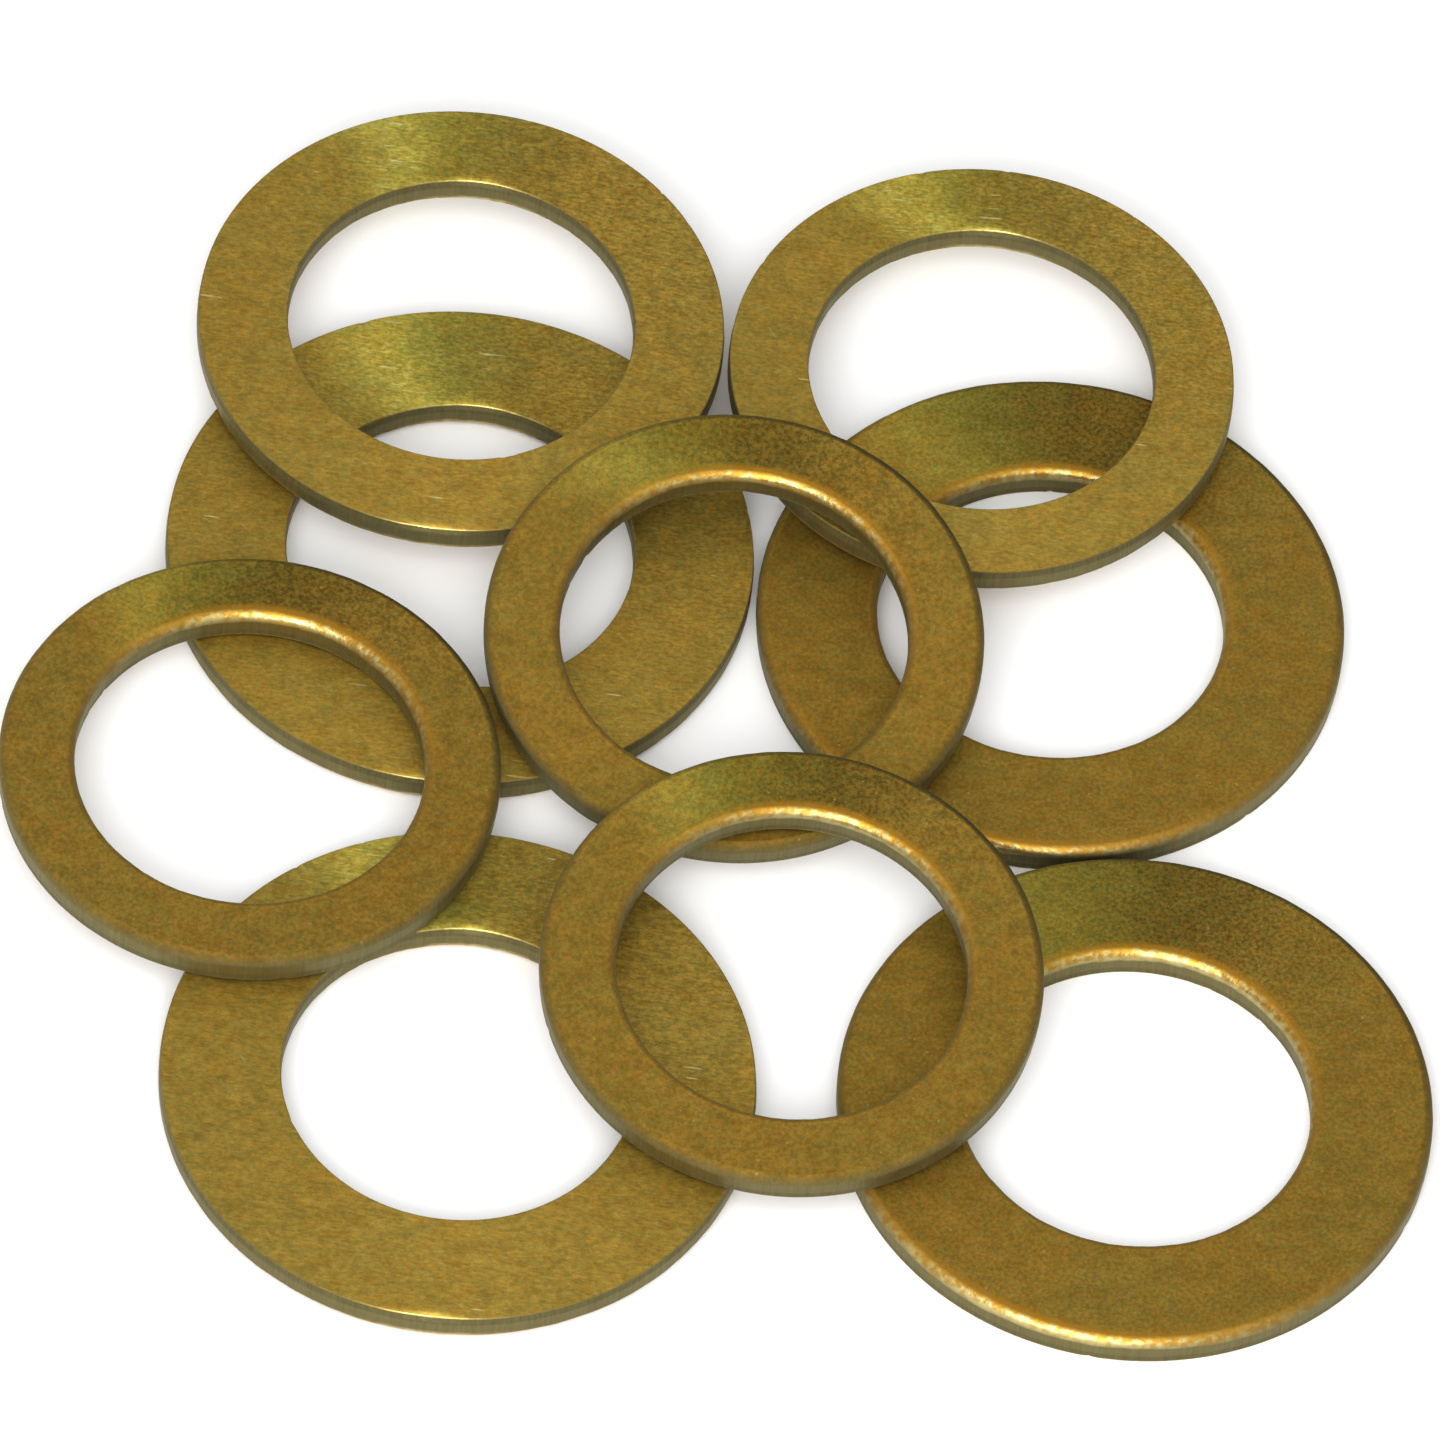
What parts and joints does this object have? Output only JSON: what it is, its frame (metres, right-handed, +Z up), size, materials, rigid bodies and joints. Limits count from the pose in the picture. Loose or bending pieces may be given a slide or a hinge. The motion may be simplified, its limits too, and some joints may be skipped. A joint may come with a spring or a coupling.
{
  "type": "flat washer",
  "caption": "Loose heap of round flat brass washers with plain bores and narrow to wide rings, some flat on the table and some resting across others.",
  "frame": {"origin": "middle of the heap's outline, on the table that it lies on", "axes": "+Z up off the table; -Y towards the front of the heap, where the viewer stands; +X to the viewer's right"},
  "size_m": [0.0546, 0.055, 0.0046],
  "materials": {
    "brushed_brass": "bare stamped sheet, finely brushed, burr side up",
    "tumbled_brass": "bare stamped sheet, tumbled to a fine grain, rounded die-roll side up"
  },
  "bodies": {
    "front_right": {"front_right_washer": "tumbled_brass"},
    "left_back": {"left_back_washer": "brushed_brass"},
    "right_back": {"right_back_washer": "tumbled_brass"},
    "front_left": {"front_left_washer": "brushed_brass"},
    "top_left": {"top_left_washer": "brushed_brass"},
    "top_right": {"top_right_washer": "brushed_brass"},
    "left": {"left_washer": "tumbled_brass"},
    "centre": {"centre_washer": "tumbled_brass"},
    "front_centre": {"front_centre_washer": "tumbled_brass"}
  },
  "joints": [
    {"name": "left_back_slide", "type": "slide", "parent": "front_right", "child": "left_back", "axis": [-0.866, 0.5, 0], "range_m": [0, 0.022]},
    {"name": "right_back_slide", "type": "slide", "parent": "front_right", "child": "right_back", "axis": [0.866, 0.5, 0], "range_m": [0, 0.022]},
    {"name": "front_left_slide", "type": "slide", "parent": "front_right", "child": "front_left", "axis": [-0.7071, -0.7071, 0], "range_m": [0, 0.022]},
    {"name": "top_left_slide", "type": "slide", "parent": "front_right", "child": "top_left", "axis": [-0.5, 0.866, 0], "range_m": [0, 0.022]},
    {"name": "top_right_slide", "type": "slide", "parent": "front_right", "child": "top_right", "axis": [0.5, 0.866, 0], "range_m": [0, 0.022]},
    {"name": "left_lift", "type": "slide", "parent": "front_right", "child": "left", "axis": [0, 0, 1], "range_m": [0, 0.02]},
    {"name": "centre_lift", "type": "slide", "parent": "front_right", "child": "centre", "axis": [0, 0, 1], "range_m": [0, 0.02]},
    {"name": "front_centre_lift", "type": "slide", "parent": "centre", "child": "front_centre", "axis": [0, 0, 1], "range_m": [0, 0.02]}
  ]
}
